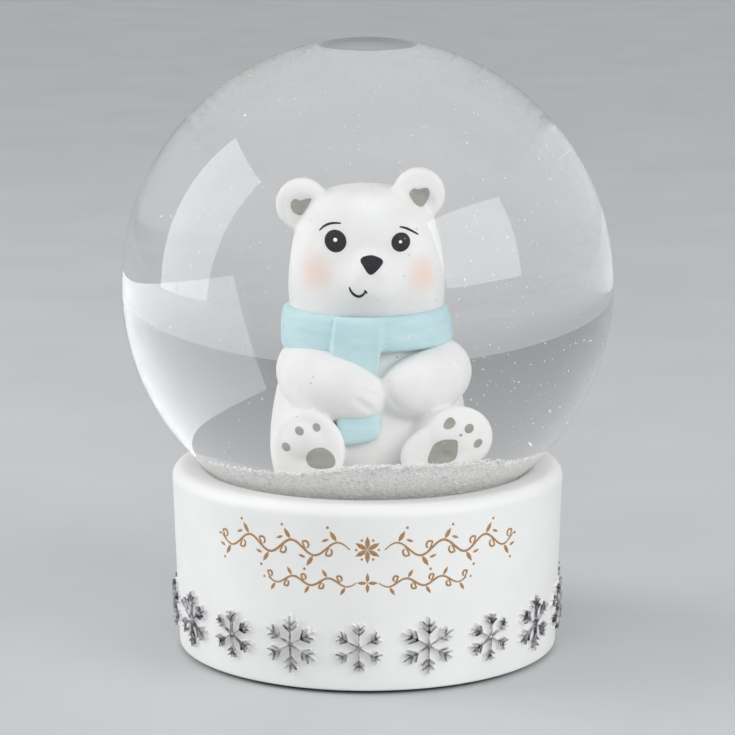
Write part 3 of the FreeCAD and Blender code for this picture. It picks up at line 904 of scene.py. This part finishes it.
# Each disc as (middle of its front, facing, half width, half height, thickness, crown).
DISCS = {
    "ear_left": ((-10.7, -5.4, 88.7), (-0.22, -1, 0.05), 4.25, 4.25, 4.2, 0.3),
    "ear_right": ((8.5, -5.4, 90.3), (0.22, -1, 0.05), 4.25, 4.35, 4.2, 0.3),
    "foot_left": (LEFT_FOOT, (-0.08, -1, 0.12), 6.5, 7.4, 5.0, 0.2),
    "foot_right": (RIGHT_FOOT, (0.20, -1, 0.14), 6.4, 6.3, 5.0, 0.2),
    "heel_right": (RIGHT_HEEL, (0.20, -1, 0.14), 6.0, 6.0, 5.0, 0.2)}
SKIN_GRAIN = 0.34


def make_bear():
    """Seated bear: head, ears, muzzle, trunk, arms folded to the middle, and feet soles forward."""
    pieces = [
        mass("head", [
            oval((*HEAD_AXIS, height), half_width, half_depth, squareness)
            for height, half_width, half_depth, squareness in HEAD]),
        mass("trunk", [
            oval((*TRUNK_AXIS, height), half_width, half_depth, TRUNK_SQUARENESS)
            for height, half_width, half_depth in TRUNK])]
    pieces += [limb(name, path, radii) for name, (path, radii) in LIMBS.items()]
    pieces += [disc(name, *shape) for name, shape in DISCS.items()]
    bear = united("bear_body", pieces, BEAR_PAINT, SKIN_GRAIN, 9)
    points = corners_mm(bear)
    for (across, up), half_width, half_height, swell in MUZZLE:
        away = np.hypot((points[:, 0] - across) / half_width, (points[:, 2] - up) / half_height)
        points[:, 1] -= (points[:, 1] < -6) * swell * eased((1 - away) / 0.6)
    for centre, radius, depth in EAR_DENTS:
        away = np.hypot(points[:, 0] - centre[0], points[:, 2] - centre[1]) / radius
        facing = (points[:, 1] < -5.0) & (points[:, 1] > -12.0)
        points[:, 1] += facing * depth * np.clip(1 - away ** 2, 0, 1) ** 1.2
    for line, radius, depth in PAW_GROOVES:
        groove(points, line, radius, depth, (0, 1, 0))
    move_corners(bear, points)
    modify(bear, "SMOOTH", factor=0.5, iterations=3)
    apply_stack(bear)
    return bear


def on_bear(tree):
    """Place function: the bear's skin behind a point of its front view, given across and up."""
    def place(across, up, lift):
        spot, normal, _, _ = tree.ray_cast(Vector((across, -60, up)) * MM, Vector((0, 1, 0)))
        if spot is None:
            raise ValueError("no skin behind (%.1f, %.1f)" % (across, up))
        return spot / MM + normal * lift
    return place


# ---------------------------------------------------------------- scarf

SCARF_CENTRE = (-0.45, -3.7)
# Where the outer turn's edge crosses the front, and how far it stands over the inner turn.
WRAP_EDGE = -5.6
WRAP_STEP = 0.9
# Section of the band as (share of its height, distance in from its face).
SCARF_SECTION = (
    (-0.03, 3.4), (0.0, 1.1), (0.03, 0.5), (0.09, 0.1), (0.3, 0.0), (0.58, 0.0), (0.82, 0.12), (0.95, 0.45),
    (1.0, 1.1), (1.03, 3.4))
TAIL_EDGES = (-5.7, 2.0)


NECK_HALF_WIDTH = 13.4
NECK_HALF_DEPTH = 12.5
SCARF_FOOT = 66.4
SCARF_TOP = 72.7
TAIL_DROP = 4.4
BAND_STEPS = 320
# Each ring of the tail as (across, depth, height, half width, half thickness).
TAIL = (
    (-2.0, -14.6, 63.0, 3.4, 0.9), (-2.0, -14.9, 61.0, 3.6, 1.1), (-1.7, -16.2, 58.0, 3.65, 1.1),
    (-1.5, -17.7, 55.2, 3.7, 1.1), (-1.4, -18.2, 52.8, 3.6, 1.05), (-1.3, -18.3, 51.6, 3.1, 0.85),
    (-1.3, -18.2, 51.2, 2.0, 0.4))


def band_point(share, inset, c, s):
    """Point of the scarf's band at a share of its height and an angle's cosine and sine.

    The outer turn stands proud from its edge to the right, the folds run down beside the tail, and the
    band's lower edge drops where the tail hangs from it.
    """
    front = s < 0
    across, depth = squared_off(c, 2 / 2.2), squared_off(s, 2 / 2.2)
    x = NECK_HALF_WIDTH * across
    wrapped = held((x - WRAP_EDGE - 0.7 * (share - 0.5)) / 0.5) if front else held((x + 2) / 10)
    fold = 0.22 * math.exp(-((x - 2.2) / 0.5) ** 2) - 0.20 * math.exp(-((x - 3.2) / 0.8) ** 2)
    out = WRAP_STEP * (wrapped - 0.5) + (fold if front else 0) - inset - 0.8 * share * max(c, 0) ** 4
    hanging = held((x - TAIL_EDGES[0] + 0.05) / 0.5) * held((TAIL_EDGES[1] + 0.5 - x) / 0.5)
    low = SCARF_FOOT + (0.3 if c > 0 else 0.65) * c - 0.1 * max(-s, 0) - (TAIL_DROP * hanging if front else 0)
    high = SCARF_TOP - 0.5 * max(-s, 0) ** 2
    return (
        SCARF_CENTRE[0] + across * (NECK_HALF_WIDTH + out), SCARF_CENTRE[1] + depth * (NECK_HALF_DEPTH + out),
        low + (high - low) * share)


def make_scarf():
    """Scarf wound once round the neck: its outer turn comes from the right and hangs down the front."""
    band = Cast()
    band.rings([
        [band_point(share, inset, c, s) for _, c, s in round_steps(BAND_STEPS)]
        for share, inset in SCARF_SECTION], looped=True)
    tail_rings = []
    for x, y, z, half_width, half_depth in TAIL:
        slant = 0.18 if z < 57 else 0
        ring = []
        for _, c, s in round_steps(12):
            u = half_width * squared_off(c, 0.55)
            ring.append((x + u, y + half_depth * squared_off(s, 0.8), z + slant * u))
        tail_rings.append(ring)
    tail = Cast()
    tail.rings(tail_rings)
    pieces = []
    for name, cast, levels in (("band", band, 1), ("tail", tail, 3)):
        piece = cast.piece(name, [])
        modify(piece, "SUBSURF", levels=levels, render_levels=levels)
        apply_stack(piece)
        pieces.append(piece)
    return merged("scarf", pieces, SCARF_PAINT)


# ---------------------------------------------------------------- painted details

def round_outline(across, up, half_width, half_height, count=20, tilt=0.0):
    """Oval outline in the front view."""
    lean, rise = math.cos(tilt), math.sin(tilt)
    spokes = [(half_width * c, half_height * s) for _, c, s in round_steps(count)]
    return [(across + u * lean - v * rise, up + u * rise + v * lean) for u, v in spokes]


# Eyes as (across, up, half width, half height), and glints, painted highlights on the eyes, as (across, up,
# radius).
EYES = ((-5.2, 84.4, 1.82, 1.84), (5.4, 84.2, 1.57, 1.57))
GLINTS = ((-5.2, 84.6, 0.34), (5.3, 84.25, 0.28))
NOSE = (
    (-1.2, 81.6), (-0.8, 82.2), (0.6, 82.5), (2.0, 82.1), (2.6, 81.5), (2.2, 80.8), (1.3, 79.9), (0.6, 79.5),
    (0.0, 79.8), (-0.7, 80.8))
MOUTH = ((-3.0, 77.35), (-2.7, 76.65), (-2.1, 76.05), (-1.4, 75.85), (-0.8, 76.15), (-0.3, 76.75))
DIMPLE = ((-0.55, 77.0), (-0.28, 76.75), (-0.1, 76.45))
BROWS = (
    ((-7.8, 85.8), (-7.1, 86.5), (-6.2, 87.0), (-5.2, 87.2), (-4.3, 87.2)),
    ((5.2, 86.6), (6.0, 86.4), (7.0, 85.9), (8.2, 85.1)))
EAR_PATCHES = (
    ((-12.2, 88.4), (-12.1, 89.2), (-11.5, 89.7), (-10.6, 89.4), (-9.6, 89.8), (-8.8, 89.8), (-9.4, 88.5),
     (-10.1, 87.3), (-10.6, 86.9), (-11.3, 87.1), (-11.9, 87.6)),
    ((6.6, 90.8), (7.3, 91.6), (8.1, 91.4), (9.6, 91.6), (9.9, 90.3), (9.2, 88.9), (8.6, 88.5), (7.5, 89.2),
     (6.9, 90.0)))
PAW_PADS = (
    round_outline(-14.0, 50.3, 0.72, 0.90, tilt=0.45),
    round_outline(-11.6, 53.4, 0.76, 0.88, tilt=0.45),
    round_outline(-8.6, 54.1, 0.70, 0.80, tilt=0.3),
    [(-10.6, 48.8), (-10.2, 49.6), (-9.0, 50.4), (-7.4, 50.4), (-6.1, 49.6), (-5.4, 48.2), (-5.6, 47.0),
     (-6.6, 46.4), (-8.6, 46.2), (-10.1, 46.7), (-10.6, 47.8)],
    [(12.8, 54.2), (13.3, 55.4), (14.2, 55.7), (15.0, 54.8), (14.5, 53.8), (13.4, 53.6)],
    round_outline(17.3, 53.5, 0.80, 0.90),
    round_outline(19.0, 50.6, 0.72, 0.92, tilt=-0.5),
    [(10.3, 48.1), (10.7, 49.7), (11.6, 51.2), (13.1, 51.8), (15.2, 51.7), (15.7, 50.8), (15.6, 49.0),
     (15.0, 47.5), (13.0, 47.0), (10.6, 47.2)],
    round_outline(16.0, 52.4, 0.28, 0.28))


LINE_SECTION = ((-1, -0.03), (-0.6, 0.05), (0, 0.07), (0.6, 0.05), (1, -0.03))


def make_painted_details(bear_tree):
    """Thin coats of paint on the bear's skin, and a painted highlight as a white glint on each eye, as pieces
    with their slots.
    """
    place = on_bear(bear_tree)
    eyes, glints, nose, lines, ears, pads = (Cast() for _ in range(6))
    for across, up, half_width, half_height in EYES:
        blob(eyes, round_outline(across, up, half_width, half_height, 28), place, 0.16)
    # Painted highlight: a white glint dot raised on each eye.
    for across, up, radius in GLINTS:
        blob(glints, round_outline(across, up, radius, radius, 14),
             lambda u, v, lift: place(u, v, lift + 0.15), 0.08, under=0.1)
    blob(nose, smooth_line(NOSE, 3, closed=True), place, 0.28)
    for points, width in ((MOUTH, 0.58), (DIMPLE, 0.40), (BROWS[0], 0.42), (BROWS[1], 0.42)):
        line = smooth_line(points, 6)
        swell = [math.sin(math.pi * (i + 0.3) / len(line)) ** 0.6 for i in range(len(line))]
        ribbon(lines, line, [0.5 * width * (0.3 + 0.7 * share) for share in swell], place, LINE_SECTION)
    for outline in EAR_PATCHES:
        blob(ears, smooth_line(outline, 3, closed=True), place, 0.06)
    for outline in PAW_PADS:
        line = outline if len(outline) > 12 else smooth_line(outline, 3, closed=True)
        blob(pads, line, place, 0.07)
    return (
        (eyes.piece("eyes", [EYE_ENAMEL]), "paint_black"),
        (glints.piece("eye_glints", [PAINTED_GLINT]), "painted_resin_white"),
        (nose.piece("nose", [EYE_ENAMEL]), "paint_black"),
        (lines.piece("brows_and_mouth", [LINE_PAINT]), "paint_black"),
        (ears.piece("ear_patches", [PAW_PAINT]), "paint_warm_grey"),
        (pads.piece("paw_pads", [PAW_PAINT]), "paint_warm_grey"))


# ---------------------------------------------------------------- snow

def chip(cast, centre, size, thickness):
    """One flake of cut film: a thin six-sided plate at a random tilt."""
    normal = Vector((rng.gauss(0, 1), rng.gauss(0, 1), rng.gauss(0, 1))).normalized()
    across = normal.orthogonal().normalized()
    other = normal.cross(across)
    spin = rng.uniform(0, 6.28)
    stretch = rng.uniform(0.6, 1.0)
    corners = [
        across * size / 2 * math.cos(spin + angle) + other * size / 2 * stretch * math.sin(spin + angle)
        for angle, _, _ in round_steps(6)]
    cast.rings([
        [Vector(centre) + normal * side * thickness / 2 + corner for corner in corners] for side in (-1, 1)])


SNOW_FOOT = SHOULDER_HEIGHT + 0.2
GRAIN_GAP = 0.35
TOP_CHIPS = 2600
SIDE_CHIPS = 2600
FLOATING_FLAKES = 750
RIM_FLAKES = 90
FLAKE_THICKNESS = 0.05
CHIP_THICKNESS = 0.12


# Each sag of the heap as (depth, side, where it starts, over what width): left, far left and far right.
SAGS = ((1.75, -1, 0, 13), (0.8, -1, 9, 10), (1.9, 1, 18, 13))


def snow_height(x, up):
    """Height of a point of the heap, which sags on its left, and a little at its right edge."""
    sag = sum(depth * eased((side * x - start) / width) for depth, side, start, width in SAGS)
    return up - sag * (up - SNOW_FOOT) / (SNOW_LEVEL - SNOW_FOOT)


def make_snow_heap():
    """Bed of settled snow: lumpy top, sides against the glass."""
    cast = Cast()
    rings = []
    # Each ring as (reach, level, zone): 0 is the hidden foot, 1 the side on the glass, and 2 the lumpy top.
    profile = [(12.0, SNOW_FOOT, 0), (PLATFORM_RADIUS + 0.5, SNOW_FOOT + 0.6, 0), (29.0, SNOW_FOOT + 1.5, 0)]
    profile += [(1, height, 1) for height in np.linspace(SNOW_FOOT + 2.2, SNOW_LEVEL - 0.4, 12)]
    profile += [
        (share, SNOW_LEVEL, 2) for share in (0.995, 0.97, 0.94, 0.9, 0.85, 0.8, 0.7, 0.6, 0.5, 0.4, 0.2)]
    waves = [(rng.uniform(0.15, 0.9), rng.uniform(0, 6.28), rng.uniform(0, 6.28)) for _ in range(14)]
    for reach, level, zone in profile:
        ring = []
        for angle, c, s in round_steps(240):
            up = snow_height(c * ball_across(BALL_INSIDE, level), level)
            wall = ball_across(BALL_INSIDE, up) - GRAIN_GAP
            across = reach if zone == 0 else reach * wall
            x, y = across * c, across * s
            if zone == 2:
                lump = sum(
                    math.sin(pace * (x * math.cos(turn) + y * math.sin(turn)) + phase) / (1 + 3 * pace)
                    for pace, turn, phase in waves)
                up = snow_height(x, level) + 0.16 * lump
                up += 0.10 * math.sin(2.1 * x + 1.7 * y) + 0.08 * math.sin(3.3 * y - 2.6 * x + 1)
            inward = 1 - 0.0035 * (1 + math.sin(7 * up + 23 * angle) * math.sin(31 * angle)) * (across > 30)
            ring.append((x * inward, y * inward, up))
        rings.append(ring)
    cast.rings(rings)
    return cast.piece("snow_heap", [SNOW])


def make_settled_chips():
    """Loose flakes on top of the heap and pressed against the glass, which roughen its outline."""
    cast = Cast()
    edge = ball_across(BALL_INSIDE, SNOW_LEVEL) - 0.5
    for _ in range(TOP_CHIPS):
        angle = rng.uniform(0, 2 * math.pi)
        across = edge * math.sqrt(rng.uniform(0.18, 1.0))
        height = snow_height(across * math.cos(angle), SNOW_LEVEL) + rng.triangular(-0.15, 0.75, 0.1)
        across = min(across, ball_across(BALL_INSIDE, height) - 0.45)
        spot = (across * math.cos(angle), across * math.sin(angle), height)
        chip(cast, spot, rng.uniform(0.45, 0.95), CHIP_THICKNESS)
    for _ in range(SIDE_CHIPS):
        angle = rng.uniform(0, 2 * math.pi)
        height = snow_height(36 * math.cos(angle), rng.uniform(BASE_TOP + 0.5, SNOW_LEVEL + 0.5))
        across = ball_across(BALL_INSIDE, height) - 0.5
        spot = (across * math.cos(angle), across * math.sin(angle), height)
        chip(cast, spot, rng.uniform(0.4, 0.8), CHIP_THICKNESS)
    return cast.piece("settled_chips", [SNOW], smooth=False)


def make_floating_flakes(bear_tree):
    """Specks of film adrift in the water, more of them on the right, and some caught at the bubble's rim."""
    cast = Cast()
    placed = 0
    while placed < FLOATING_FLAKES:
        spot = Vector((rng.uniform(-1, 1), rng.uniform(-1, 1), rng.uniform(-1, 1)))
        if spot.length > 0.97:
            continue
        if rng.random() > 0.55 + 0.45 * spot.x:
            continue
        spot = spot * BALL_INSIDE + Vector((0, 0, BALL_CENTRE))
        if not SNOW_LEVEL + 1 < spot.z < WATER_LEVEL - 0.6:
            continue
        nearest = bear_tree.find_nearest(spot * MM)[3]
        # The bear and the crook of its limbs, where no flake could drift.
        inside_bear = abs(spot.x) < 17 and -23 < spot.y < 10 and spot.z < 94 and nearest < 6 * MM
        if inside_bear:
            continue
        chip(cast, spot, rng.uniform(0.12, 0.34), FLAKE_THICKNESS)
        placed += 1
    rim = ball_across(BALL_INSIDE, WATER_LEVEL)
    for _ in range(RIM_FLAKES):
        angle = math.radians(rng.choice((-86, -62, -75)) + rng.gauss(0, 9))
        across = rim - rng.uniform(0.7, 2.2)
        height = WATER_LEVEL - rng.uniform(0.25, 0.45)
        spot = (across * math.cos(angle), across * math.sin(angle), height)
        chip(cast, spot, rng.uniform(0.25, 0.5), FLAKE_THICKNESS)
    return cast.piece("floating_flakes", [FLAKE], smooth=False)


# ---------------------------------------------------------------- camera, floor and light

CAMERA_DISTANCE = 620
CAMERA_HEIGHT = 178.6
CAMERA_TILT = 11.02
FLOOR_HALF = 3000
LAMP_DISTANCE = 0.9


def make_camera():
    """Camera a little above the globe's middle, looking slightly down at its front."""
    data = bpy.data.cameras.new("camera")
    data.sensor_width = 36
    data.lens = 151.2
    data.clip_start = 0.01
    camera = bpy.data.objects.new("camera", data)
    camera.location = (0, -CAMERA_DISTANCE * MM, CAMERA_HEIGHT * MM)
    camera.rotation_euler = (math.radians(90 - CAMERA_TILT), 0, 0)
    bpy.context.scene.collection.objects.link(camera)
    bpy.context.scene.camera = camera


def make_floor():
    """Plain pale floor."""
    corners = [(x * FLOOR_HALF, y * FLOOR_HALF, 0) for x, y in ((-1, -1), (1, -1), (1, 1), (-1, 1))]
    made, tree, place = blank("pale_floor")
    tone = add(tree, "TexNoise", {"Vector": place, "Scale": per_mm(60), "Detail": 3})
    finish(tree, add(tree, "BsdfPrincipled", {
        "Base Color": add(tree, "ValToRGB", {"Fac": tone}, stops=((0.3, "#C8C9CA"), (0.7, "#CECFD0"))),
        "Roughness": 0.6}))
    new_piece("floor", corners, [(0, 1, 2, 3)], [made])


def softbox(name, azimuth, elevation, width, height, power):
    """Area lamp that faces the globe. Azimuth 0 is in front of it, and grows towards +X. Metres and watts."""
    data = bpy.data.lights.new(name, "AREA")
    data.shape = "RECTANGLE"
    data.size = width
    data.size_y = height
    data.energy = power
    lamp = bpy.data.objects.new(name, data)
    turn = math.radians(azimuth)
    rise = math.radians(elevation)
    way = Vector((math.sin(turn) * math.cos(rise), -math.cos(turn) * math.cos(rise), math.sin(rise)))
    lamp.location = Vector((0, 0, BALL_CENTRE * MM)) + way * LAMP_DISTANCE
    lamp.rotation_euler = way.to_track_quat("Z", "Y").to_euler()
    bpy.context.scene.collection.objects.link(lamp)


def make_light():
    """Two softboxes at the sides, in a plain room that is brighter overhead and in front."""
    softbox("softbox_right", 54.5, 21.5, 0.64, 0.50, 3.0)
    softbox("softbox_left", -92, 21, 0.55, 0.84, 4.3)
    world = bpy.data.worlds.new("room")
    bpy.context.scene.world = world
    world.use_nodes = True
    tree = world.node_tree
    way = add(tree, "TexCoord").outputs["Generated"]
    parts = add(tree, "SeparateXYZ", {"Vector": way}).outputs
    tone = add(
        tree, "ValToRGB", {"Fac": parts["Z"]},
        stops=((0.0, "#8E9092"), (0.12, "#989A9C"), (0.55, "#B4B5B7"), (1.0, "#D0D1D2")))
    backdrop = tree.nodes["Background"]
    tree.links.new(tone.outputs[0], backdrop.inputs["Color"])
    fill = add(tree, "MapRange", {
        "Value": parts["Y"], "From Min": -1.0, "From Max": 0.1, "To Min": 2.2, "To Max": 1.02})
    tree.links.new(fill.outputs["Result"], backdrop.inputs["Strength"])


# ---------------------------------------------------------------- assembly

def fit(piece, slot, *nodes):
    """Fixes a finished piece to the one body and hides the CAD nodes that it stands for. The slot is not
    used.
    """
    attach(piece, "root")
    if nodes:
        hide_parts(*nodes)


make_camera()
make_floor()
make_light()
bpy.context.scene.view_settings.view_transform = "Standard"

fit(make_glass(), "blown_glass", "glass_globe")
fit(make_water(), "clear_water", "liquid_fill")
fit(make_base(), "cast_resin_white", "base_casting")
fit(make_pad(), "felt_black", "base_pad")
for flake_index in range(FLAKE_COUNT):
    fit(make_flake(flake_index), "silver_plate", "snowflake_%02d" % (flake_index + 1))
fit(make_ornament(), "bronze_print")

bear_body = make_bear()
bear_skin = BVHTree.FromObject(bear_body, bpy.context.evaluated_depsgraph_get())
fit(bear_body, "painted_resin_white", "bear_figurine")
fit(make_scarf(), "paint_pale_blue", "bear_scarf")
for detail, finish_slot in make_painted_details(bear_skin):
    fit(detail, finish_slot)
fit(make_snow_heap(), "snow_flakes", "snow_bed")
fit(make_settled_chips(), "snow_flakes")
fit(make_floating_flakes(bear_skin), "snow_flakes")

for node_name, node_finish in (
        ("rubber_stopper", RUBBER), ("stopper_seal", SEALANT), ("neck_adhesive", EPOXY)):
    node_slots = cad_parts[node_name].data.materials
    node_slots.clear()
    node_slots.append(node_finish)
